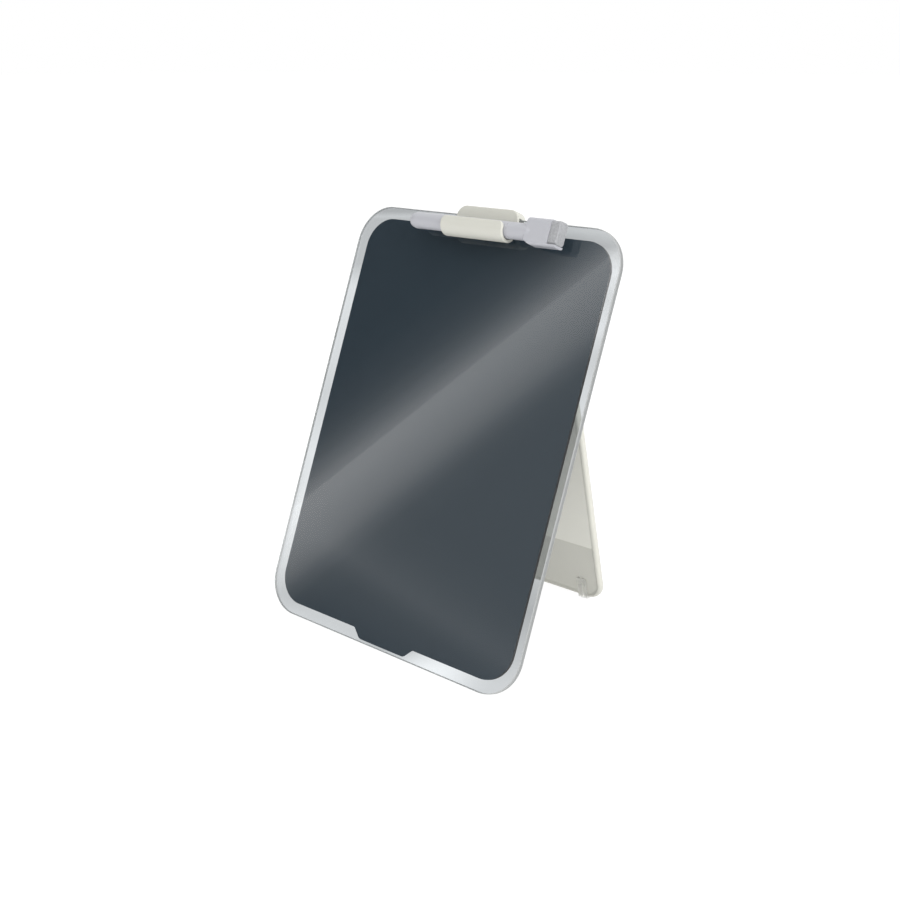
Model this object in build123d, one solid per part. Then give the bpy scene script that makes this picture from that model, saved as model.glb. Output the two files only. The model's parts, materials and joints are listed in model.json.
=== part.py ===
from build123d import *
import os
from math import cos, radians, sin

# Desktop glass whiteboard, standing open on its folding rear leaf, with the pen in its holder.
# Lengths are millimetres and angles are degrees.
# Board pieces are drawn on the board: x to the viewer's right, y up the board from its
# bottom edge, and z forward out of the back face of the glass.
# Leaf pieces are drawn on the leaf: y up the leaf from its pivot, and z towards the board.
# Pen pieces are drawn on the pen: x along it from the cap joint, towards the cap.

# Stance
board_lean = 21.4
stand_opening = 35.05

# Glass
board_width = 215.0
board_height = 281.5
board_corner_radius = 25.0
glass_thickness = 3.5
glass_arris = 0.5

# Print on the back of the glass, with its tab at the bottom centre
clear_margin = 7.8
pane_corner_radius = 19.6
print_thickness = 0.2
tab_top_width = 51.5
tab_bottom_width = 39.0
tab_edge_gap = 1.8
tab_inner_radius = 2.0
tab_outer_radius = 4.5

# Bond and back panel
bond_thickness = 0.3
bond_inset = 3.0
panel_thickness = 2.1
panel_edge_radius = 0.5

# Hinge axis and pin
pivot_below_top = 27.9
knuckle_diameter = 6.6
knuckle_panel_gap = 0.3
pin_diameter = 3.0
pin_clearance = 0.05
pin_end_chamfer = 0.4

# Hinge bracket
bracket_width = 112.0
bracket_height = 14.5
bracket_thickness = 2.4
bracket_corner_radius = 4.0
bracket_edge_radius = 0.6
bracket_knuckle_width = 10.0
bracket_plate_gap = 0.4
gusset_land = 3.0

# Friction washers
washer_thickness = 0.5
washer_diameter = 6.2
washer_gap = 0.05

# Rivets
rivet_columns = 4
rivet_knuckle_gap = 5.5
rivet_rise = 9.0
rivet_diameter = 3.2
rivet_clearance = 0.05
rivet_head_diameter = 6.0
rivet_head_height = 1.2
rivet_dome_radius = 1.1
rivet_tail_diameter = 5.0
rivet_tail_depth = 0.8

# Stand leaf
leaf_width = 123.4
leaf_thickness = 5.0
leaf_corner_radius = 12.5
leaf_shoulder_radius = 3.0
leaf_rear_radius = 2.0
leaf_front_radius = 2.3
leaf_skin = 1.6
leaf_top_gap = 1.3
leaf_knuckle_side_gap = 0.6
sole_zone_height = 42.3
sole_zone_depth = 0.8
sole_rim_width = 2.0
sole_rim_slope = 1.6

# Leaf cover and the ribs under it
cover_margin = 3.0
cover_thickness = 1.4
cover_fit = 0.15
cover_corner_radius = 1.2
cover_edge_chamfer = 0.2
seat_ledge = 2.0
rib_thickness = 1.8
cell_columns = 4
cell_rows = 6
cell_corner_radius = 2.5

# Stop heels on the leaf knuckles
heel_height = 8.0
heel_thickness = 3.0
heel_width = 12.0
heel_inset = 3.0
heel_gap = 0.1
heel_edge_radius = 0.6

# Soft feet clipped over the leaf's lower edge
foot_spread = 91.0
foot_width = 7.6
foot_wall = 1.0
foot_sole = 1.4
foot_corner_radius = 1.8
foot_front_height = 14.6
foot_rear_height = 10.0
foot_rib_width = 2.4
foot_rib_rise = 0.5
foot_rib_corner_radius = 1.1
foot_rib_margin = 3.6
foot_clearance = 0.05
foot_edge_radius = 0.4

# Pen holder
holder_offset = 2.1
holder_width = 50.2
holder_wall = 2.1
holder_pad_thickness = 0.6
holder_pad_gap = 0.05
holder_pad_side_margin = 3.0
holder_pad_top_margin = 1.5
holder_front_pad_height = 7.0
holder_jaw_wall = 1.8
holder_jaw_depth = 7.2
holder_tab_rise = 5.2
holder_tab_radius = 7.0
holder_seat_gap = 0.5
holder_stop_gap = 0.1
holder_stop_thickness = 1.6
holder_stop_pitch = 16.0
holder_stop_count = 3
holder_front_drop = 5.2
holder_front_radius = 3.6
holder_edge_radius = 0.7

# Pen
pen_drop = 8.9
pen_trough_clearance = 0.35
pen_diameter = 10.6
pen_edge_radius = 0.3
pen_cap_side_gap = 0.8
barrel_length = 77.4
barrel_wall = 1.1
plug_length = 3.8
plug_diameter = 9.4
plug_edge_radius = 2.6
plug_spigot_length = 7.0
spigot_clearance = 0.05
reservoir_diameter = 7.6
nib_holder_grip = 12.0
nib_neck_diameter = 8.0
nib_neck_length = 11.0
nib_cone_length = 6.0
nib_cone_tip_diameter = 5.4
nib_diameter = 4.2
nib_reach = 5.0
nib_tip_radius = 1.6
nib_clearance = 0.03

# Cap with its flat eraser block
cap_neck_length = 15.4
cap_block_length = 17.3
cap_block_height = 16.7
cap_block_rise = 0.4
cap_block_depth = 9.6
cap_block_section_radius = 2.4
cap_flare_back = 0.4
cap_flare_forward = 3.6
cap_flare_radius = 5.0
cap_shoulder_radius = 1.2
cap_shoulder_slope = 0.7
cap_neck_taper_inset = 0.8
cap_neck_taper_length = 4.5
cap_bore_diameter = 8.8
cap_bore_depth = 25.0
cap_lip_thickness = 1.6
cap_lip_length = 6.0
cap_joint_gap = 0.15

# Cap liner
liner_clearance = 0.05
liner_length = 9.0
liner_start = 1.0

# Felt eraser
felt_length = 6.6
felt_depth = 8.6
felt_top_drop = 0.4
felt_section_radius = 2.2
felt_edge_radius = 0.7

# One overrun for every cut
overrun = 2.0

# Places that follow from the sizes above
panel_rear = -(print_thickness + bond_thickness + panel_thickness)
pane_width = board_width - 2 * clear_margin
pane_height = board_height - 2 * clear_margin
pivot_y = board_height - pivot_below_top
pivot_z = panel_rear - knuckle_panel_gap - knuckle_diameter / 2
plate_low = pivot_y + knuckle_diameter / 2 + bracket_plate_gap
rivet_y = plate_low + rivet_rise
rivet_pitch = 2 * (bracket_width / 2 - bracket_knuckle_width - rivet_knuckle_gap) / (rivet_columns - 1)
plate_rear = panel_rear - bracket_thickness
pin_bore_diameter = pin_diameter + 2 * pin_clearance

leaf_angle = stand_opening - board_lean
pivot_height = pivot_y * cos(radians(board_lean)) + (pivot_z - glass_arris) * sin(radians(board_lean))
sole_front = leaf_thickness / 2 - sole_zone_depth
edge_drop = (leaf_thickness / 2 - leaf_front_radius) * sin(radians(leaf_angle))
edge_height = pivot_height - foot_sole - leaf_front_radius - edge_drop
leaf_reach = leaf_front_radius + edge_height / cos(radians(leaf_angle))
leaf_top = knuckle_diameter / 2 + leaf_top_gap

pen_y = board_height - pen_drop
trough_radius = pen_diameter / 2 + pen_trough_clearance
trough_outer_radius = trough_radius + holder_wall
wall_front = glass_thickness + holder_pad_thickness + holder_wall
wall_rear = glass_thickness + holder_pad_thickness
jaw_front = -holder_pad_thickness
jaw_rear = jaw_front - holder_jaw_wall
pen_z = wall_front + trough_radius
tab_top = board_height + holder_tab_rise
cap_joint = holder_offset + holder_width / 2 + pen_cap_side_gap

board_place = Location((0, 0, 0), (90 - board_lean, 0, 0)) * Location((0, 0, -glass_arris))
leaf_place = board_place * Location((0, pivot_y, pivot_z), (stand_opening, 0, 0))
pen_place = board_place * Location((cap_joint, pen_y, pen_z))


def block(x_range, y_range, z_range):
    """A plain block between pairs of limits."""
    sizes = [high - low for low, high in (x_range, y_range, z_range)]
    middles = [(high + low) / 2 for low, high in (x_range, y_range, z_range)]
    return Pos(*middles) * Box(*sizes)


def plate(outline, low, high):
    """An outline in x and y, made solid from one z to another."""
    return Pos(0, 0, low) * extrude(outline, amount=high - low)


def across(profile, width, middle=0):
    """A profile drawn as (y, z), made solid along x about its middle."""
    return Pos(middle, 0, 0) * extrude(profile, amount=width / 2, both=True)


def span(y_range, z_range):
    """A rectangle in the (y, z) plane between pairs of limits."""
    y_low, y_high = y_range
    z_low, z_high = z_range
    face = Rectangle(y_high - y_low, z_high - z_low)
    return Plane.YZ * (Pos((y_low + y_high) / 2, (z_low + z_high) / 2) * face)


def repeated(outline, spots):
    """One outline at every spot, as one sketch."""
    return Sketch() + [spot * outline for spot in spots]


def turned(points):
    """A solid turned about the x axis from a closed outline of (x, radius) points."""
    return revolve(Polygon(*points), Axis.X)


def rod(diameter, start, end):
    """A round rod along the x axis."""
    return Pos(start, 0, 0) * extrude(Plane.YZ * Circle(diameter / 2), amount=end - start)


# Board

def glass_panel():
    outline = RectangleRounded(board_width, board_height, board_corner_radius)
    sheet = plate(Pos(0, board_height / 2) * outline, 0, glass_thickness)
    rims = sheet.faces().filter_by(Axis.Z).edges()
    return chamfer(rims, glass_arris)


def print_outline():
    pane = Pos(0, board_height / 2) * RectangleRounded(pane_width, pane_height, pane_corner_radius)
    half_top = tab_top_width / 2
    half_bottom = tab_bottom_width / 2
    tab = Polygon(
        (-half_top, clear_margin + overrun),
        (-half_top, clear_margin),
        (-half_bottom, tab_edge_gap),
        (half_bottom, tab_edge_gap),
        (half_top, clear_margin),
        (half_top, clear_margin + overrun),
    )
    outline = pane + tab
    rows = outline.vertices().group_by(Axis.Y)
    inner = rows[1].sort_by(lambda corner: abs(corner.X))[:2]
    outline = fillet(inner, tab_inner_radius)
    outer = outline.vertices().group_by(Axis.Y)[0]
    return fillet(outer, tab_outer_radius)


def dark_print():
    return plate(print_outline(), -print_thickness, 0)


def bond_sheet():
    outline = RectangleRounded(
        pane_width - 2 * bond_inset, pane_height - 2 * bond_inset, pane_corner_radius - bond_inset
    )
    return plate(Pos(0, board_height / 2) * outline, -print_thickness - bond_thickness, -print_thickness)


def rivet_spots():
    return Pos(0, rivet_y) * GridLocations(rivet_pitch, rivet_pitch, rivet_columns, 1)


def back_panel():
    outline = Pos(0, board_height / 2) * RectangleRounded(pane_width, pane_height, pane_corner_radius)
    front = panel_rear + panel_thickness
    sheet = plate(outline, panel_rear, front)
    sheet = fillet(sheet.faces().sort_by(Axis.Z)[0].edges(), panel_edge_radius)
    holes = repeated(Circle(rivet_diameter / 2 + rivet_clearance), rivet_spots())
    sheet -= plate(holes, panel_rear - overrun, front + overrun)
    sinks = repeated(Circle(rivet_tail_diameter / 2 + rivet_clearance), rivet_spots())
    return sheet - plate(sinks, front - rivet_tail_depth, front + overrun)


# Stand hinge

def knuckle_arm_profile():
    """A bracket knuckle with its arm up the bracket plate, in (y, z)."""
    radius = knuckle_diameter / 2
    arm_top = plate_low + bracket_height - bracket_corner_radius
    arm = Polygon(
        (pivot_y, pivot_z + radius),
        (pivot_y, pivot_z - radius),
        (plate_low, pivot_z - radius),
        (plate_low + gusset_land, pivot_z - radius),
        (arm_top, plate_rear),
        (arm_top, panel_rear),
        (plate_low, panel_rear),
        (plate_low, pivot_z + radius),
    )
    return Plane.YZ * (arm + Pos(pivot_y, pivot_z) * Circle(radius))


def bracket_knuckle_centres():
    reach = (bracket_width - bracket_knuckle_width) / 2
    return [-reach, 0, reach]


def hinge_bracket():
    outline = RectangleRounded(bracket_width, bracket_height, bracket_corner_radius)
    base = plate(Pos(0, plate_low + bracket_height / 2) * outline, plate_rear, panel_rear)
    base = fillet(base.faces().sort_by(Axis.Z)[0].edges(), bracket_edge_radius)
    for centre in bracket_knuckle_centres():
        base += across(knuckle_arm_profile(), bracket_knuckle_width, centre)
    holes = repeated(Circle(rivet_diameter / 2 + rivet_clearance), rivet_spots())
    base -= plate(holes, plate_rear - overrun, panel_rear + overrun)
    bore = rod(pin_bore_diameter, -bracket_width / 2 - overrun, bracket_width / 2 + overrun)
    return base - Pos(0, pivot_y, pivot_z) * bore


def bracket_rivets():
    front = panel_rear + panel_thickness
    head = plate_rear - rivet_head_height
    rivets = []
    for spot in rivet_spots():
        shank = plate(Circle(rivet_diameter / 2), head, front)
        tail = plate(Circle(rivet_tail_diameter / 2), front - rivet_tail_depth, front)
        dome = plate(Circle(rivet_head_diameter / 2), head, plate_rear)
        dome = fillet(dome.faces().sort_by(Axis.Z)[0].edges(), rivet_dome_radius)
        rivets.append(spot * (shank + tail + dome))
    return Compound(rivets)


def hinge_pin():
    pin = rod(pin_diameter, -bracket_width / 2, bracket_width / 2)
    pin = chamfer(pin.faces().filter_by(Axis.X).edges(), pin_end_chamfer)
    return Pos(0, pivot_y, pivot_z) * pin


def leaf_knuckle_ranges():
    """The x ranges of the leaf's knuckles, between the bracket's."""
    inner = bracket_knuckle_width / 2 + leaf_knuckle_side_gap
    outer = bracket_width / 2 - bracket_knuckle_width - leaf_knuckle_side_gap
    return [(-outer, -inner), (inner, outer)]


def hinge_washers():
    face = bracket_width / 2 - bracket_knuckle_width - washer_gap
    ring = Plane.YZ * (Circle(washer_diameter / 2) - Circle(pin_bore_diameter / 2))
    washer = extrude(ring, amount=washer_thickness)
    places = [Pos(-face, pivot_y, pivot_z), Pos(face - washer_thickness, pivot_y, pivot_z)]
    return Compound([place * washer for place in places])


# Stand leaf, drawn from its pivot

def leaf_outline():
    shape = Pos(0, -(leaf_top + leaf_reach) / 2) * Rectangle(leaf_width, leaf_reach - leaf_top)
    corners = shape.vertices().group_by(Axis.Y)
    shape = fillet(corners[0], leaf_corner_radius)
    return fillet(shape.vertices().group_by(Axis.Y)[-1], leaf_shoulder_radius)


def cover_outline(shrink=0):
    """The cover's outline, drawn in by a given amount all round."""
    high = -leaf_top - cover_margin
    low = -leaf_reach + sole_zone_height
    rectangle = RectangleRounded(
        leaf_width - 2 * (cover_margin + shrink), high - low - 2 * shrink, cover_corner_radius - shrink
    )
    return Pos(0, (high + low) / 2) * rectangle


def cell_outlines():
    """Open cells between the leaf's inner ribs, on a regular grid inside the cover's seat."""
    seat = cover_outline().bounding_box()
    cell_width = (seat.size.X - 2 * seat_ledge - (cell_columns - 1) * rib_thickness) / cell_columns
    cell_height = (seat.size.Y - 2 * seat_ledge - (cell_rows - 1) * rib_thickness) / cell_rows
    grid = GridLocations(cell_width + rib_thickness, cell_height + rib_thickness, cell_columns, cell_rows)
    cell = RectangleRounded(cell_width, cell_height, cell_corner_radius)
    return Pos(0, seat.center().Y) * repeated(cell, grid)


def stop_heel(x_range):
    """A heel that meets the bracket plate when the stand is fully open."""
    low, high = x_range
    front = plate_rear - pivot_z - heel_gap
    heel = block((low, high), (0, heel_height), (front - heel_thickness, front))
    heel = fillet(heel.faces().sort_by(Axis.Y)[-1].edges(), heel_edge_radius)
    return Location((0, 0, 0), (-stand_opening, 0, 0)) * heel


def leaf_knuckle(x_range):
    low, high = x_range
    half = leaf_thickness / 2
    neck = block(x_range, (-leaf_top - overrun, 0), (-half, half))
    knuckle = neck + rod(knuckle_diameter, low, high)
    for start in (low + heel_inset, high - heel_inset - heel_width):
        knuckle += stop_heel((start, start + heel_width))
    return knuckle


def leaf_blank():
    """The leaf with both of its rims rounded."""
    half = leaf_thickness / 2
    blank = plate(leaf_outline(), -half, half)
    blank = fillet(blank.faces().sort_by(Axis.Z)[0].edges(), leaf_rear_radius)
    return fillet(blank.faces().sort_by(Axis.Z)[-1].edges(), leaf_front_radius)


def sole_hollow():
    """The shallow hollow of the lower zone, whose sides slope up to the leaf's raised rim."""
    step = -leaf_reach + sole_zone_height
    outlines = []
    for side in (-1, 1):
        inset = sole_rim_width - side * sole_rim_slope
        rectangle = RectangleRounded(
            leaf_width - 2 * inset, 2 * (sole_zone_height - inset), leaf_corner_radius - inset
        )
        outlines.append(Pos(0, step, leaf_thickness / 2 + side * sole_zone_depth) * rectangle)
    low = block((-leaf_width, leaf_width), (-leaf_reach, step), (-leaf_thickness, leaf_thickness))
    return loft(outlines) & low


def foot_seat(centre):
    """The notch in the leaf's rim that a foot sits in."""
    half_width = foot_width / 2 + foot_clearance
    high = -leaf_reach + sole_rim_width + sole_rim_slope
    return block(
        (centre - half_width, centre + half_width), (-leaf_reach - overrun, high), (sole_front, leaf_thickness)
    )


def stand_shell():
    half = leaf_thickness / 2
    reach = leaf_width / 2 + overrun
    shell = leaf_blank() - sole_hollow()
    shell -= plate(cover_outline(), half - cover_thickness, half + overrun)
    for side in (-1, 1):
        shell -= foot_seat(side * foot_spread / 2)
    shell -= plate(cell_outlines(), leaf_skin - half, half)
    for x_range in leaf_knuckle_ranges():
        shell += leaf_knuckle(x_range)
    return shell - rod(pin_bore_diameter, -reach, reach)


def stand_cover():
    half = leaf_thickness / 2
    cover = plate(cover_outline(cover_fit), half - cover_thickness, half)
    return chamfer(cover.faces().sort_by(Axis.Z)[-1].edges(), cover_edge_chamfer)


def upright(centre, width, low, high, corner_radius):
    """An upright strip with round corners."""
    return Pos(centre, (low + high) / 2) * RectangleRounded(width, high - low, corner_radius)


def stand_foot(side):
    """A soft clip over the leaf's lower edge, cut flat where it stands. Side is -1 or 1."""
    half = leaf_thickness / 2
    centre = side * foot_spread / 2
    front = sole_front + foot_wall
    rear = -half - foot_wall
    low = -leaf_reach - foot_sole - leaf_thickness
    tongue_top = -leaf_reach + foot_front_height
    heel_top = -leaf_reach + foot_rear_height
    tongue = plate(upright(centre, foot_width, low, tongue_top, foot_corner_radius), 0, front)
    heel = plate(upright(centre, foot_width, low, heel_top, foot_corner_radius), rear, 0)
    clip = tongue + heel
    rims = clip.faces().sort_by(Axis.Z)[-1].edges() + clip.faces().sort_by(Axis.Z)[0].edges()
    clip = fillet(rims, foot_edge_radius)
    rib_outline = upright(centre, foot_rib_width, low, tongue_top - foot_rib_margin, foot_rib_corner_radius)
    rib = plate(rib_outline, 0, front + foot_rib_rise)
    clip += fillet(rib.faces().sort_by(Axis.Z)[-1].edges(), foot_edge_radius)
    core = block(
        (centre - foot_width, centre + foot_width),
        (-leaf_reach - foot_clearance, 0),
        (-half - foot_clearance, sole_front + foot_clearance),
    )
    ground = block((-leaf_width, leaf_width), (-board_height, board_height), (-board_height, 0))
    return clip - core - leaf_place.inverse() * ground


# Pen holder

def holder_rear_profile():
    """The saddle: rear jaw, roof and the wall behind the trough, in (y, z)."""
    jaw = span((board_height - holder_jaw_depth, tab_top), (jaw_rear, jaw_front))
    roof = span((board_height + holder_seat_gap, tab_top), (jaw_rear, wall_front))
    wall = span((pen_y, tab_top), (wall_rear, wall_front))
    return jaw + roof + wall


def trough_profile():
    """The trough's round floor and its front wall, in (y, z)."""
    ring = Circle(trough_outer_radius) - Circle(trough_radius)
    ring = Plane.YZ * (Pos(pen_y, pen_z) * ring)
    lower = span((pen_y - trough_outer_radius, pen_y), (wall_rear, pen_z + trough_outer_radius))
    front = span((pen_y, board_height - holder_front_drop), (pen_z + trough_radius, pen_z + trough_outer_radius))
    return (ring & lower) + front


def holder_blank(top, radius, z_range):
    """A plate as wide as the holder, with its top corners rounded."""
    low = pen_y - trough_outer_radius - overrun
    shape = Pos(holder_offset, (top + low) / 2) * Rectangle(holder_width, top - low)
    shape = fillet(shape.vertices().group_by(Axis.Y)[-1], radius)
    return plate(shape, *z_range)


def pen_holder():
    trough_front = pen_z + trough_outer_radius
    saddle = across(holder_rear_profile(), holder_width, holder_offset)
    saddle &= holder_blank(tab_top, holder_tab_radius, (jaw_rear, wall_front))
    trough = across(trough_profile(), holder_width, holder_offset)
    front_top = board_height - holder_front_drop
    trough &= holder_blank(front_top, holder_front_radius, (wall_rear, trough_front))
    holder = saddle + trough
    face = holder.faces().filter_by(Axis.Z).sort_by(Axis.Z)[-1]
    holder = fillet(face.edges().sort_by(Axis.Y)[1:], holder_edge_radius)
    crown = holder.faces().filter_by(Axis.Y).sort_by(Axis.Y)[-1]
    holder = fillet(crown.edges().filter_by(Axis.X), holder_edge_radius)
    for index in range(holder_stop_count):
        middle = holder_offset + (index - (holder_stop_count - 1) / 2) * holder_stop_pitch
        sides = (middle - holder_stop_thickness / 2, middle + holder_stop_thickness / 2)
        rise = (board_height + holder_stop_gap, board_height + holder_seat_gap + holder_stop_gap)
        holder += block(sides, rise, (jaw_front, wall_rear))
    return holder


def holder_pad(height, z_range):
    """A soft pad on one side of the holder's slot."""
    width = holder_width - 2 * holder_pad_side_margin
    high = board_height - holder_pad_top_margin
    sides = (holder_offset - width / 2, holder_offset + width / 2)
    return block(sides, (high - height, high), z_range)


def holder_pad_front():
    return holder_pad(holder_front_pad_height, (glass_thickness + holder_pad_gap, wall_rear))


def holder_pad_rear():
    height = holder_jaw_depth - holder_pad_top_margin
    return holder_pad(height, (jaw_front, -holder_pad_gap))


# Pen, drawn from the cap joint

def barrel_bore():
    return pen_diameter - 2 * barrel_wall


def pen_barrel():
    tube = rod(pen_diameter, -barrel_length, -cap_joint_gap)
    tube = fillet(tube.faces().filter_by(Axis.X).edges(), pen_edge_radius)
    return tube - rod(barrel_bore(), -barrel_length - overrun, overrun)


def pen_end_plug():
    end = -barrel_length - plug_length
    head = rod(plug_diameter, end, -barrel_length)
    head = fillet(head.faces().sort_by(Axis.X)[0].edges(), plug_edge_radius)
    spigot = barrel_bore() - 2 * spigot_clearance
    return head + rod(spigot, -barrel_length - overrun, -barrel_length + plug_spigot_length)


def ink_reservoir():
    start = -barrel_length + plug_spigot_length + spigot_clearance
    return rod(reservoir_diameter, start, -nib_holder_grip - spigot_clearance)


def nib_holder():
    spigot = barrel_bore() / 2 - spigot_clearance
    neck = nib_neck_diameter / 2
    tip = nib_neck_length + nib_cone_length
    bore = nib_diameter / 2 + nib_clearance
    return turned([
        (-nib_holder_grip, bore),
        (-nib_holder_grip, spigot),
        (0, spigot),
        (0, neck),
        (nib_neck_length, neck),
        (tip, nib_cone_tip_diameter / 2),
        (tip, bore),
    ])


def nib():
    start = -nib_holder_grip
    end = nib_neck_length + nib_cone_length + nib_reach
    tip = rod(nib_diameter, start, end)
    return fillet(tip.faces().sort_by(Axis.X)[-1].edges(), nib_tip_radius)


def cap_side_outline():
    """The eraser block seen from the front, with its flared underside and its lower lip."""
    neck = pen_diameter / 2
    high = cap_block_rise + cap_block_height / 2
    low = cap_block_rise - cap_block_height / 2
    start = cap_neck_length
    end = start + cap_block_length
    shape = Polygon(
        (start, high),
        (start - cap_shoulder_slope, neck),
        (start - cap_flare_back, -neck),
        (start + cap_flare_forward, low),
        (end + cap_lip_length, low),
        (end + cap_lip_length, low + cap_lip_thickness),
        (end, low + cap_lip_thickness),
        (end, high),
    )
    corners = shape.vertices().group_by(Axis.Y)
    flare = corners[0].sort_by(Axis.X)[0]
    shape = fillet(flare, cap_flare_radius)
    shoulder = shape.vertices().group_by(Axis.Y)[-1].sort_by(Axis.X)[0]
    return fillet(shoulder, cap_shoulder_radius)


def pen_cap():
    end = cap_neck_length + cap_block_length + cap_lip_length
    half_depth = cap_block_depth / 2
    section = RectangleRounded(cap_block_height, cap_block_depth, cap_block_section_radius)
    body = plate(cap_side_outline(), -half_depth, half_depth)
    body &= Pos(0, cap_block_rise, 0) * extrude(Plane.YZ * section, amount=end)
    taper_start = cap_neck_length + cap_neck_taper_inset
    taper_end = taper_start + cap_neck_taper_length
    neck = turned([
        (0, 0),
        (0, pen_diameter / 2),
        (taper_start, pen_diameter / 2),
        (taper_end, half_depth - pen_edge_radius),
        (taper_end, 0),
    ])
    neck = fillet(neck.faces().filter_by(Axis.X).sort_by(Axis.X)[0].edges(), pen_edge_radius)
    return body + neck - rod(cap_bore_diameter, -overrun, cap_bore_depth)


def cap_liner():
    outer = cap_bore_diameter / 2 - liner_clearance
    inner = nib_neck_diameter / 2 + liner_clearance
    end = liner_start + liner_length
    return rod(2 * outer, liner_start, end) - rod(2 * inner, liner_start - overrun, end + overrun)


def felt_eraser():
    start = cap_neck_length + cap_block_length
    low = cap_block_rise - cap_block_height / 2 + cap_lip_thickness
    high = cap_block_rise + cap_block_height / 2 - felt_top_drop
    section = RectangleRounded(high - low, felt_depth, felt_section_radius)
    felt = Pos(start, (high + low) / 2, 0) * extrude(Plane.YZ * section, amount=felt_length)
    return fillet(felt.faces().sort_by(Axis.X)[-1].edges(), felt_edge_radius)


# Every piece on its own frame

pieces = {
    "glass_panel": board_place * glass_panel(),
    "dark_print": board_place * dark_print(),
    "bond_sheet": board_place * bond_sheet(),
    "back_panel": board_place * back_panel(),
    "hinge_bracket": board_place * hinge_bracket(),
    "bracket_rivets": board_place * bracket_rivets(),
    "hinge_pin": board_place * hinge_pin(),
    "hinge_washers": board_place * hinge_washers(),
    "stand_shell": leaf_place * stand_shell(),
    "stand_cover": leaf_place * stand_cover(),
    "stand_foot_left": leaf_place * stand_foot(-1),
    "stand_foot_right": leaf_place * stand_foot(1),
    "pen_holder": board_place * pen_holder(),
    "holder_pad_front": board_place * holder_pad_front(),
    "holder_pad_rear": board_place * holder_pad_rear(),
    "pen_barrel": pen_place * pen_barrel(),
    "pen_end_plug": pen_place * pen_end_plug(),
    "ink_reservoir": pen_place * ink_reservoir(),
    "nib_holder": pen_place * nib_holder(),
    "nib": pen_place * nib(),
    "pen_cap": pen_place * pen_cap(),
    "cap_liner": pen_place * cap_liner(),
    "felt_eraser": pen_place * felt_eraser(),
}

# The origin is on the ground, at the middle of the whole object's footprint.
footprint = Compound(list(pieces.values())).bounding_box().center()

os.makedirs("parts", exist_ok=True)
for name, piece in pieces.items():
    export_step(Pos(-footprint.X, -footprint.Y, 0) * piece, f"parts/{name}.step")
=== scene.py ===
"""The looks of a desktop glass whiteboard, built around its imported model. Lengths are in metres."""
import json
from math import cos, radians, sin

import bmesh
import bpy
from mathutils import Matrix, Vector


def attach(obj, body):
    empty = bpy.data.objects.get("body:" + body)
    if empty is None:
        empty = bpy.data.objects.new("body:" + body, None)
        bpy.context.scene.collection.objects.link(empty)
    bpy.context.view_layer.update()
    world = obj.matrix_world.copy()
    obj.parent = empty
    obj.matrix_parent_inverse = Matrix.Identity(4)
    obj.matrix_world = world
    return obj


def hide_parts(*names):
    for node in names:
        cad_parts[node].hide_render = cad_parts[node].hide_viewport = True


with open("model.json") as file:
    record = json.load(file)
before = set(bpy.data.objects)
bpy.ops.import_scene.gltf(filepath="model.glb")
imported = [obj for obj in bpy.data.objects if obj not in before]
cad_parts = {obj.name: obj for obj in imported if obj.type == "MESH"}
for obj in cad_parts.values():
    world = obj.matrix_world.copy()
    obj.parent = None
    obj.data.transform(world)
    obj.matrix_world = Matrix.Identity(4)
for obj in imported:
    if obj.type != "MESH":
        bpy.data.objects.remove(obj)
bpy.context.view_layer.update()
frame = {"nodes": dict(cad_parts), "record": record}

# Camera, at the photograph's angle
CAMERA_PLACE = (0.5174, -0.5861, 0.3566)
CAMERA_AZIMUTH = radians(42.076)
CAMERA_ELEVATION = radians(17.186)
SENSOR_WIDTH = 36.0
LENS = 50.37

# Board
BOARD_LEAN = radians(21.4)
BOARD_OUT = Vector((0, -cos(BOARD_LEAN), sin(BOARD_LEAN)))

# Colours, as linear red, green and blue
WHITE = (1.0, 1.0, 1.0)
GLASS_TINT = (0.55, 0.573, 0.587)
GLASS_EDGE = (0.52, 0.53, 0.52)
GLASS_BEVEL = (0.40, 0.41, 0.41)
GLASS_SHADE = (0.82, 0.83, 0.84)
PRINT_GREY = (0.0438, 0.0613, 0.0766)
PANEL_BLACK = (0.006, 0.0065, 0.007)
BOND_BLACK = (0.02, 0.02, 0.022)
OFF_WHITE = (0.622, 0.62, 0.56)
# The stand's cover takes the off-white made about a third lighter: painted light on the stand, which stands
# in the board's shade, and it sets the cover off from the stand's darker lower zone.
COVER_PAINTED_LIGHTER = (0.81, 0.807, 0.735)
PEN_GREY = (0.460, 0.465, 0.497)
FELT_GREY = (0.345, 0.35, 0.362)
NIB_BLACK = (0.015, 0.015, 0.017)
FIBRE_GREY = (0.03, 0.03, 0.035)
PAD_GREY = (0.62, 0.62, 0.60)
SOFT_CLEAR = (0.90, 0.90, 0.87)
SOFT_CLEAR_SHADE = (0.90, 0.90, 0.89)
STEEL_GREY = (0.56, 0.57, 0.58)
RIVET_GREY = (0.50, 0.50, 0.51)
FLOOR_PALE = (0.85, 0.85, 0.85)

# The values that a noise mostly keeps within
NOISE_RANGE = (0.3, 0.7)

# Where the colours are among the Mix node's sockets
FIRST_COLOUR = 6
SECOND_COLOUR = 7
MIXED_COLOUR = 2

# Glass. How squarely a point faces forward or back goes from 0 on the sides to 1 on the large faces, and the
# bevels and the large faces begin within these ranges of it.
BEVEL_START = (0.25, 0.5)
FACE_START = (0.85, 0.95)
GLASS_IOR = 1.5
EDGE_ROUGHNESS = 0.4
EDGE_CLEARNESS = 0.55
BEVEL_CLEARNESS = 0.35

# The print, the felt and the grip pads
PRINT_BITE = 0.00002
WELD_REACH = 0.00001
FELT_INSET = 0.00012
FELT_VOXEL = 0.00028
FELT_FUZZ = 0.00011
FELT_FUZZ_SIZES = (0.0016, 0.0006)
FELT_FUZZ_DETAIL = 2
FELT_TONE_RANGE = (0.38, 0.62)
PAD_ROUNDING = 0.0002
PAD_ROUNDING_STEPS = 4
PAD_FLAT_ANGLE = radians(5)

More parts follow.
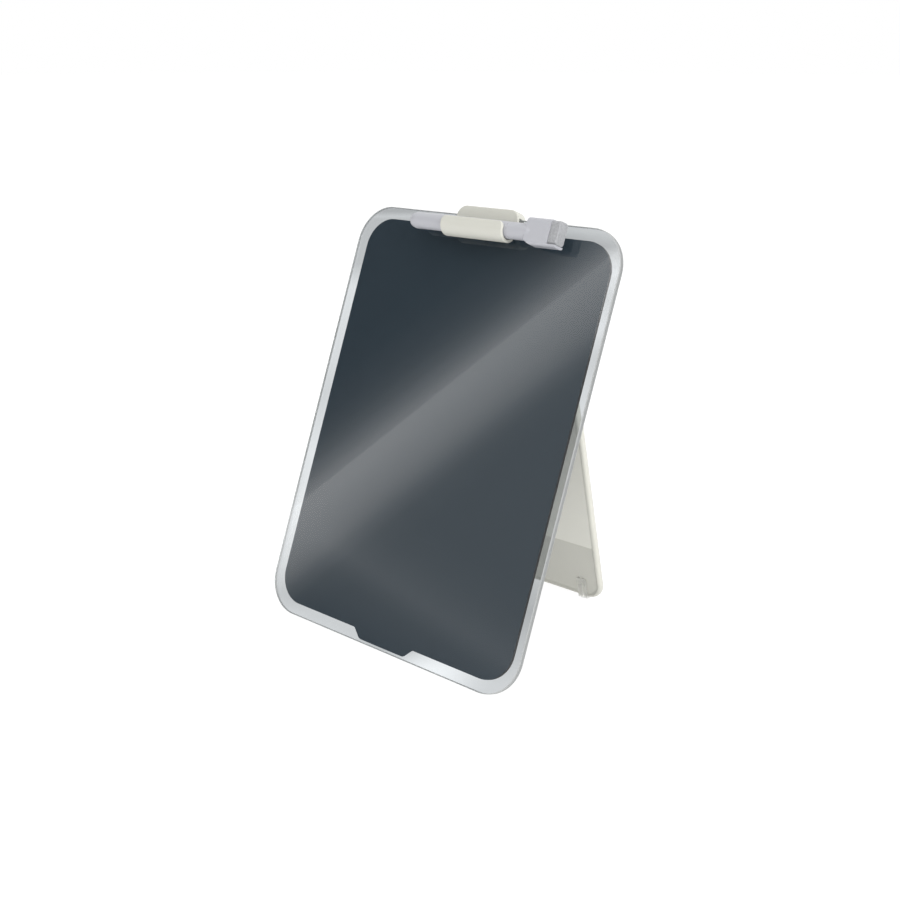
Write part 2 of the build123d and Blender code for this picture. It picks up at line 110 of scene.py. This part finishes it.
# The studio that shows in the glass: a soft panel with a straight edge, in front of a dark drape. A profile
# gives places along a direction and how bright it is at each.
DRAPE_CENTRE = (-0.6447, -0.7152, 0.2699)
DRAPE_RIM = (0.84, 0.94)
DRAPE_RISE = 0.055
DRAPE_GLOW = 0.194
DRAPE_FOOT = (0.16084, 0.03798, 0.98625)
FOOT_PROFILE = [(-0.030, 0.50), (0.0, 0.93), (0.018, 1.55), (0.045, 1.15), (0.070, 1.0)]
PANEL_EDGE = (0.58969, -0.71731, -0.37113)
PANEL_PEAK = 3.6
PANEL_PROFILE = [
    (-0.075, 0.02), (-0.058, 0.034), (-0.040, 0.082), (-0.029, 0.149), (-0.0195, 0.27), (-0.0100, 0.485),
    (-0.0004, 0.785), (0.0004, 1.0), (0.0093, 0.945), (0.019, 0.79), (0.029, 0.625), (0.0385, 0.42),
    (0.048, 0.172), (0.058, 0.038), (0.075, 0.0),
]

# Ambient light, which rises from the sky's foot to its top
UPWARD = (0, 0, 1)
SKY_RISE = (0.2, 0.85)
AMBIENT = 0.22
CEILING = 1.2

# Lamps
LAMP_AIM = (0, 0, 0.13)
LAMP_SIZE = 1.4
KEY_PLACE = (2.1, -0.35, 1.1)
KEY_POWER = 31
FRONT_PLACE = (1.7, -1.75, 0.45)
FRONT_POWER = 10

# How bright the floor's glow is where it shows through the glass: painted light and shade, brighter and
# darker by its distance from the object's middle, away from the camera, on the left and on the right, with a
# painted bright spot where the board's lower edge throws light on it. The two sides blend where they meet.
FLOOR_RIGHTWARD = (cos(CAMERA_AZIMUTH), sin(CAMERA_AZIMUTH), 0)
FLOOR_FORWARD = (-sin(CAMERA_AZIMUTH), cos(CAMERA_AZIMUTH), 0)
FLOOR_SIDES_MEET = (-0.070, -0.035)
FLOOR_LEFT = [
    (0.0, 1.0), (0.03, 0.77), (0.12, 0.85), (0.23, 0.96), (0.36, 1.19), (0.58, 1.0), (0.76, 1.12),
    (1.28, 1.2), (1.53, 0.81), (2.2, 0.78), (2.26, 0.91), (2.36, 0.64),
]
FLOOR_RIGHT = [
    (-0.107, 0.98), (-0.076, 0.8), (0.0, 0.6), (0.11, 0.95), (0.5, 1.03), (0.77, 0.86), (0.94, 1.0),
    (1.15, 0.77), (1.42, 0.92), (1.75, 0.47), (1.98, 0.8), (2.2, 0.86),
]
FLOOR_SPOT = (0.0422, -0.0727, 0)
FLOOR_SPOT_REACH = 0.046
FLOOR_PAINTED_SPOT_GLOW = 0.62

# The floor glows white and is lit by the lamps too. This is how bright its glow is, and the glow's share of
# its look, to the camera, through the glass, and for the light that the floor bounces onto the object. The
# bounce fades from in front of the board to behind it, where the board keeps the light off the floor.
FLOOR_REACH = 30
FLOOR_WHITE = 1.22
FLOOR_WHITE_THROUGH = 1.30
FLOOR_BOUNCE = 1.6
FLOOR_BOUNCE_FADE = (-0.05, 0.19)
FLOOR_SHARE_SEEN = 0.72
FLOOR_SHARE_THROUGH = 0.85
FLOOR_SHARE_BOUNCE = 0.8


# Shader nodes

def shader_node(tree, kind, inputs=None, **settings):
    """A shader node with its settings, and its inputs given as values or as other nodes' outputs."""
    made = tree.nodes.new("ShaderNode" + kind)
    for name, value in settings.items():
        setattr(made, name, value)
    for name, value in (inputs or {}).items():
        if isinstance(value, bpy.types.NodeSocket):
            tree.links.new(value, made.inputs[name])
        else:
            made.inputs[name].default_value = value
    return made


def arithmetic(tree, operation, first, second):
    """A sum, product or other result of two numbers."""
    return shader_node(tree, "Math", {0: first, 1: second}, operation=operation).outputs[0]


def average(tree, first, second):
    """The middle of two numbers."""
    return arithmetic(tree, "MULTIPLY", arithmetic(tree, "ADD", first, second), 0.5)


def between(tree, share, first, second):
    """A number between two others, by a share from 0 to 1."""
    return shader_node(tree, "Mix", {"Factor": share, "A": first, "B": second}).outputs[0]


def spread(tree, value, low, high, to_low=0.0, to_high=1.0, kind="LINEAR"):
    """Moves a value from one range to another."""
    inputs = {"Value": value, "From Min": low, "From Max": high, "To Min": to_low, "To Max": to_high}
    return shader_node(tree, "MapRange", inputs, interpolation_type=kind).outputs["Result"]


def varied(tree, value, middle, swing):
    """A number that swings around its middle as a noise does."""
    return spread(tree, value, *NOISE_RANGE, middle - swing, middle + swing)


def along(tree, spot, direction):
    """How far a point reaches along a direction."""
    product = shader_node(tree, "VectorMath", {0: spot, 1: direction}, operation="DOT_PRODUCT")
    return product.outputs["Value"]


def curve(tree, value, stops):
    """A value read through a list of (place, height) stops."""
    low, high = stops[0][0], stops[-1][0]
    ramp = shader_node(tree, "ValToRGB", {"Fac": spread(tree, value, low, high)})
    elements = ramp.color_ramp.elements
    elements.remove(elements[1])
    for index, (place, height) in enumerate(stops):
        share = (place - low) / (high - low)
        element = elements[0] if index == 0 else elements.new(share)
        element.position = share
        element.color = (height, height, height, 1)
    return shader_node(tree, "RGBToBW", {"Color": ramp.outputs["Color"]}).outputs["Val"]


def opaque(colour, share=1.0):
    """A colour as a socket takes it, made darker or lighter by a share."""
    return (*(channel * share for channel in colour), 1)


def tones(tree, share, first, second):
    """A colour between two others, by a share from 0 to 1."""
    inputs = {"Factor": share, FIRST_COLOUR: first, SECOND_COLOUR: second}
    return shader_node(tree, "Mix", inputs, data_type="RGBA").outputs[MIXED_COLOUR]


def mottled(tree, value, colour, darkest, lightest):
    """A colour that gets darker and lighter as a noise does."""
    return tones(tree, value, opaque(colour, darkest), opaque(colour, lightest))


def place_in(tree, stretch=(1, 1, 1)):
    """The point on the piece, in its own frame, stretched along each axis."""
    spot = shader_node(tree, "TexCoord").outputs["Object"]
    return shader_node(tree, "Mapping", {"Vector": spot, "Scale": stretch}).outputs["Vector"]


def noise(tree, spot, scale, detail=2.0, roughness=0.5):
    """Cloudy noise, with its scale in waves per metre."""
    inputs = {"Vector": spot, "Scale": scale, "Detail": detail, "Roughness": roughness}
    return shader_node(tree, "TexNoise", inputs).outputs["Fac"]


def bumped(tree, height, depth, strength=1.0, under=None):
    """A surface direction with bumps of a depth, laid over the bumps under it."""
    inputs = {"Height": height, "Distance": depth, "Strength": strength}
    if under is not None:
        inputs["Normal"] = under
    return shader_node(tree, "Bump", inputs).outputs["Normal"]


def ray_is(tree, *kinds):
    """1 for rays of any of these kinds."""
    path = shader_node(tree, "LightPath")
    found = path.outputs[f"Is {kinds[0]} Ray"]
    for kind in kinds[1:]:
        found = arithmetic(tree, "MAXIMUM", found, path.outputs[f"Is {kind} Ray"])
    return found


def empty_tree(holder):
    """The node tree of a material or world, with nothing in it."""
    holder.use_nodes = True
    holder.node_tree.nodes.clear()
    return holder.node_tree


def new_material(name):
    """A material and its empty node tree."""
    material = bpy.data.materials.new(name)
    return material, empty_tree(material)


def finished(material, shader):
    """The material, once it shows a shader."""
    shader_node(material.node_tree, "OutputMaterial", {0: shader.outputs[0]})
    return material


def shared(tree, share, first, second):
    """Two shaders mixed, by the share of the second."""
    return shader_node(tree, "MixShader", {0: share, 1: first.outputs[0], 2: second.outputs[0]})


# Materials

def moulded(name, colour, roughness, mottle=0.03, grain=0.00002, gloss=0.5):
    """Moulded plastic: faint cloudy tone, a fine spark-eroded grain and slow changes of gloss."""
    material, tree = new_material(name)
    spot = place_in(tree)
    clouds = noise(tree, spot, scale=45, detail=4)
    coarse = noise(tree, spot, scale=700, detail=3)
    fine = noise(tree, spot, scale=2600, detail=2)
    inputs = {
        "Base Color": mottled(tree, clouds, colour, darkest=1 - mottle, lightest=1 + mottle),
        "Roughness": varied(tree, clouds, middle=roughness, swing=0.05),
        "Specular IOR Level": gloss,
        "Normal": bumped(tree, fine, grain, strength=0.8, under=bumped(tree, coarse, grain, strength=0.6)),
    }
    return finished(material, shader_node(tree, "BsdfPrincipled", inputs))


def squareness(tree):
    """1 on the two large faces of the glass, 0 on its sides, and between them on its bevels."""
    facing = shader_node(tree, "TexCoord").outputs["Normal"]
    return shader_node(tree, "Math", {0: along(tree, facing, BOARD_OUT)}, operation="ABSOLUTE").outputs[0]


def clear_glass():
    """Clear float glass with ground edges, which lets the lamps through to what lies behind it."""
    material, tree = new_material("clear_glass")
    square = squareness(tree)
    edge = spread(tree, square, *FACE_START, to_low=1.0, to_high=0.0)
    bevel = arithmetic(tree, "MULTIPLY", spread(tree, square, *BEVEL_START), edge)
    tint = tones(tree, edge, opaque(GLASS_TINT), opaque(GLASS_EDGE))
    edge_clearness = spread(tree, edge, 0, 1, to_low=1.0, to_high=EDGE_CLEARNESS)
    bevel_clearness = spread(tree, bevel, 0, 1, to_low=1.0, to_high=BEVEL_CLEARNESS)
    inputs = {
        "Base Color": tones(tree, bevel, tint, opaque(GLASS_BEVEL)),
        "Roughness": spread(tree, edge, 0, 1, to_low=0.0, to_high=EDGE_ROUGHNESS),
        "IOR": GLASS_IOR,
        "Transmission Weight": arithmetic(tree, "MULTIPLY", edge_clearness, bevel_clearness),
    }
    glass = shader_node(tree, "BsdfPrincipled", inputs)
    through = shader_node(tree, "BsdfTransparent", {"Color": opaque(GLASS_SHADE)})
    return finished(material, shared(tree, ray_is(tree, "Shadow", "Diffuse"), glass, through))


def soft_clear():
    """Soft clear plastic, a little cloudy."""
    material, tree = new_material("soft_clear")
    clouds = noise(tree, place_in(tree), scale=260, detail=3)
    inputs = {
        "Base Color": opaque(SOFT_CLEAR),
        "Roughness": varied(tree, clouds, middle=0.475, swing=0.075),
        "IOR": 1.4,
        "Transmission Weight": 0.7,
        "Normal": bumped(tree, clouds, depth=0.00006),
    }
    soft = shader_node(tree, "BsdfPrincipled", inputs)
    through = shader_node(tree, "BsdfTransparent", {"Color": opaque(SOFT_CLEAR_SHADE)})
    return finished(material, shared(tree, ray_is(tree, "Shadow"), soft, through))


def felt(name, colour, contrast):
    """Pressed felt: matted short fibres in mixed tones, with a soft sheen."""
    material, tree = new_material(name)
    clumps = noise(tree, place_in(tree), scale=900, detail=5, roughness=0.7)
    threads = noise(tree, place_in(tree, stretch=(1, 1, 4)), scale=2200, detail=4, roughness=0.6)
    matted = average(tree, clumps, threads)
    shades = spread(tree, matted, *FELT_TONE_RANGE)
    inputs = {
        "Base Color": mottled(tree, shades, colour, darkest=1 - contrast, lightest=1 + contrast),
        "Roughness": 0.95,
        "Sheen Weight": 0.3,
        "Sheen Roughness": 0.5,
        "Normal": bumped(tree, matted, depth=0.00012),
    }
    return finished(material, shader_node(tree, "BsdfPrincipled", inputs))


def brushed_metal(name, colour, roughness, stretch):
    """Metal with a fine grain, which becomes lines along an axis whose stretch is under 1."""
    material, tree = new_material(name)
    lines = noise(tree, place_in(tree, stretch), scale=900, detail=3)
    inputs = {
        "Base Color": mottled(tree, lines, colour, darkest=0.92, lightest=1.06),
        "Metallic": 1.0,
        "Roughness": varied(tree, lines, middle=roughness, swing=0.07),
        "Normal": bumped(tree, lines, depth=0.00001),
    }
    return finished(material, shader_node(tree, "BsdfPrincipled", inputs))


def printed_ink(name, colour):
    """Screen-printed ink under the glass: an even, dull tone with a faint cloudiness."""
    material, tree = new_material(name)
    clouds = noise(tree, place_in(tree), scale=30, detail=4)
    inputs = {
        "Base Color": mottled(tree, clouds, colour, darkest=0.98, lightest=1.02),
        "Roughness": varied(tree, clouds, middle=0.9, swing=0.05),
        "Specular IOR Level": 0.0,
    }
    return finished(material, shader_node(tree, "BsdfPrincipled", inputs))


finishes = {
    "clear_glass": clear_glass(),
    "dark_print": printed_ink("dark_print", PRINT_GREY),
    "bond": moulded("bond", BOND_BLACK, roughness=0.8),
    "back_panel": moulded("back_panel", PANEL_BLACK, roughness=0.6, mottle=0.12, grain=0.00004, gloss=0.15),
    "off_white": moulded("off_white", OFF_WHITE, roughness=0.42),
    # The cover's lighter copy of the off-white is painted light on the shaded stand.
    "cover_white": moulded("cover_white", COVER_PAINTED_LIGHTER, roughness=0.42),
    "rivet_metal": brushed_metal("rivet_metal", RIVET_GREY, roughness=0.32, stretch=(1, 1, 1)),
    "steel": brushed_metal("steel", STEEL_GREY, roughness=0.28, stretch=(0.05, 1, 1)),
    "clear_soft": soft_clear(),
    "pad_soft": moulded("pad_soft", PAD_GREY, roughness=0.75, mottle=0.05, grain=0.00005),
    "pen_grey": moulded("pen_grey", PEN_GREY, roughness=0.36, mottle=0.02, grain=0.000008),
    "fibre": felt("fibre", FIBRE_GREY, contrast=0.5),
    "nib_felt": felt("nib_felt", NIB_BLACK, contrast=0.6),
    "eraser_felt": felt("eraser_felt", FELT_GREY, contrast=0.22),
}

slots = {part["node"]: part["material_slot"] for part in frame["record"]["subparts"]}
for name, piece in frame["nodes"].items():
    for material_slot in piece.material_slots:
        material_slot.material = finishes[slots[name]]


# Pieces that take a CAD node's place

def placed(name, data):
    """A new object in the scene."""
    made = bpy.data.objects.new(name, data)
    bpy.context.scene.collection.objects.link(made)
    return made


def twin(node, name):
    """A new piece with the node's own mesh, ready to be worked on."""
    return placed(name, frame["nodes"][node].data.copy())


def stand_for(piece, node, body):
    """Puts the piece on its body, in the place of its CAD node."""
    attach(piece, body)
    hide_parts(node)


def open_mesh(piece):
    """The piece's mesh ready for editing, with its surfaces joined along their edges."""
    shape = bmesh.new()
    shape.from_mesh(piece.data)
    bmesh.ops.remove_doubles(shape, verts=shape.verts, dist=WELD_REACH)
    return shape


def close_mesh(shape, piece):
    """Puts the edited mesh back in the piece."""
    shape.to_mesh(piece.data)
    shape.free()


def settle(piece):
    """Applies the piece's modifiers to its mesh, and smooths its shading."""
    graph = bpy.context.evaluated_depsgraph_get()
    bpy.context.view_layer.update()
    final = bpy.data.meshes.new_from_object(piece.evaluated_get(graph))
    piece.modifiers.clear()
    piece.data = final
    for polygon in piece.data.polygons:
        polygon.use_smooth = True


def printed_layer():
    """The print, keyed into the back of the glass so that no air shows between them."""
    piece = twin("dark_print", "print_layer")
    front = max(vertex.co.dot(BOARD_OUT) for vertex in piece.data.vertices)
    for vertex in piece.data.vertices:
        if abs(vertex.co.dot(BOARD_OUT) - front) < PRINT_BITE:
            vertex.co += BOARD_OUT * PRINT_BITE
    stand_for(piece, "dark_print", "board")


def felt_block():
    """The eraser's pressed felt, with a matted surface of its own."""
    piece = twin("felt_eraser", "felt_block")
    shape = open_mesh(piece)
    shape.normal_update()
    for vertex in shape.verts:
        vertex.co -= vertex.normal * FELT_INSET
    close_mesh(shape, piece)
    remesh = piece.modifiers.new("Remesh", "REMESH")
    remesh.mode = "VOXEL"
    remesh.voxel_size = FELT_VOXEL
    for size in FELT_FUZZ_SIZES:
        texture = bpy.data.textures.new("felt_fibres", "CLOUDS")
        texture.noise_scale = size
        texture.noise_depth = FELT_FUZZ_DETAIL
        fuzz = piece.modifiers.new("Fuzz", "DISPLACE")
        fuzz.texture = texture
        fuzz.texture_coords = "LOCAL"
        fuzz.strength = FELT_FUZZ
    settle(piece)
    piece.data.materials.clear()
    piece.data.materials.append(finishes["eraser_felt"])
    stand_for(piece, "felt_eraser", "cap")


def soft_pad(node, name):
    """A holder pad with soft, rounded edges."""
    piece = twin(node, name)
    shape = open_mesh(piece)
    bmesh.ops.dissolve_limit(shape, angle_limit=PAD_FLAT_ANGLE, verts=shape.verts, edges=shape.edges)
    close_mesh(shape, piece)
    bevel = piece.modifiers.new("Bevel", "BEVEL")
    bevel.width = PAD_ROUNDING
    bevel.segments = PAD_ROUNDING_STEPS
    settle(piece)
    stand_for(piece, node, "holder")


printed_layer()
felt_block()
soft_pad("holder_pad_front", "front_grip_pad")
soft_pad("holder_pad_rear", "rear_grip_pad")


# Stage

def floor_through_glass(tree, spot):
    """The floor's glow where it is seen through the glass, with its painted light and shade."""
    forward = along(tree, spot, FLOOR_FORWARD)
    side = spread(tree, along(tree, spot, FLOOR_RIGHTWARD), *FLOOR_SIDES_MEET)
    level = between(tree, side, curve(tree, forward, FLOOR_LEFT), curve(tree, forward, FLOOR_RIGHT))
    away = shader_node(tree, "VectorMath", {0: spot, 1: FLOOR_SPOT}, operation="DISTANCE").outputs["Value"]
    # A painted bright spot in the floor's glow, below the board's lower edge.
    painted_spot_glow = spread(tree, away, 0.0, FLOOR_SPOT_REACH, FLOOR_PAINTED_SPOT_GLOW, 0.0, kind="SMOOTHSTEP")
    return arithmetic(tree, "MULTIPLY", arithmetic(tree, "ADD", level, painted_spot_glow), FLOOR_WHITE_THROUGH)


def floor_material():
    """A pale floor that takes the object's shadow, and looks white to the camera and in the glass."""
    material, tree = new_material("floor")
    spot = shader_node(tree, "NewGeometry").outputs["Position"]
    depth = shader_node(tree, "SeparateXYZ", {"Vector": spot}).outputs["Y"]
    in_front = spread(tree, depth, *FLOOR_BOUNCE_FADE, to_low=1.0, to_high=0.0)
    through = ray_is(tree, "Transmission")
    bounce = arithmetic(tree, "MULTIPLY", ray_is(tree, "Diffuse"), in_front)
    strength = between(tree, through, FLOOR_WHITE, floor_through_glass(tree, spot))
    strength = between(tree, bounce, strength, FLOOR_BOUNCE)
    share = arithmetic(tree, "MULTIPLY", ray_is(tree, "Camera", "Glossy"), FLOOR_SHARE_SEEN)
    for rays, own_share in ((through, FLOOR_SHARE_THROUGH), (bounce, FLOOR_SHARE_BOUNCE)):
        share = arithmetic(tree, "MAXIMUM", share, arithmetic(tree, "MULTIPLY", rays, own_share))
    lit = shader_node(tree, "BsdfDiffuse", {"Color": opaque(FLOOR_PALE)})
    white = shader_node(tree, "Emission", {"Color": opaque(WHITE), "Strength": strength})
    return finished(material, shared(tree, share, lit, white))


def floor():
    """The floor, a square sheet that reaches far past the camera's view."""
    mesh = bpy.data.meshes.new("floor")
    corners = [(x * FLOOR_REACH, y * FLOOR_REACH, 0) for x, y in ((-1, -1), (1, -1), (1, 1), (-1, 1))]
    mesh.from_pydata(corners, [], [(0, 1, 2, 3)])
    mesh.materials.append(floor_material())
    ground = placed("floor", mesh)


def studio_world():
    """White behind the object, soft ambient light, and the studio panel for reflections."""
    world = bpy.data.worlds.new("studio")
    tree = empty_tree(world)
    heading = shader_node(tree, "TexCoord").outputs["Generated"]
    across_panel = along(tree, heading, PANEL_EDGE)
    panel = curve(tree, across_panel, PANEL_PROFILE)
    drape = spread(tree, across_panel, 0.0, DRAPE_RISE, 0.0, DRAPE_GLOW, kind="SMOOTHSTEP")
    foot = curve(tree, along(tree, heading, DRAPE_FOOT), FOOT_PROFILE)
    lit = arithmetic(tree, "ADD", panel, arithmetic(tree, "MULTIPLY", drape, foot))
    draped = spread(tree, along(tree, heading, DRAPE_CENTRE), *DRAPE_RIM, kind="SMOOTHSTEP")
    mirrored = between(tree, draped, 1.0, arithmetic(tree, "MULTIPLY", lit, PANEL_PEAK))
    sky = spread(tree, along(tree, heading, UPWARD), *SKY_RISE, AMBIENT, CEILING, kind="SMOOTHSTEP")
    plain = between(tree, ray_is(tree, "Camera", "Transmission"), sky, 1.0)
    level = between(tree, ray_is(tree, "Glossy"), plain, mirrored)
    background = shader_node(tree, "Background", {"Color": opaque(WHITE), "Strength": level})
    shader_node(tree, "OutputWorld", {0: background.outputs[0]})
    bpy.context.scene.world = world


def aimed(made, direction):
    """Turns a lamp or camera to look along a direction."""
    made.rotation_mode = "QUATERNION"
    made.rotation_quaternion = direction.to_track_quat("-Z", "Y")


def lamp(name, place, power):
    """A soft square lamp aimed at the middle of the object."""
    light = bpy.data.lights.new(name, "AREA")
    light.shape = "SQUARE"
    light.size = LAMP_SIZE
    light.energy = power
    made = placed(name, light)
    made.location = place
    aimed(made, Vector(LAMP_AIM) - Vector(place))
    made.visible_glossy = False
    made.visible_camera = False


def camera():
    """The camera, at the photograph's place and angle."""
    data = bpy.data.cameras.new("camera")
    data.sensor_width = SENSOR_WIDTH
    data.lens = LENS
    made = placed("camera", data)
    made.location = CAMERA_PLACE
    level = cos(CAMERA_ELEVATION)
    back = Vector((sin(CAMERA_AZIMUTH) * level, -cos(CAMERA_AZIMUTH) * level, sin(CAMERA_ELEVATION)))
    aimed(made, -back)
    bpy.context.scene.camera = made


floor()
studio_world()
lamp("key", KEY_PLACE, KEY_POWER)
lamp("front", FRONT_PLACE, FRONT_POWER)
camera()
bpy.context.scene.view_settings.view_transform = "Standard"
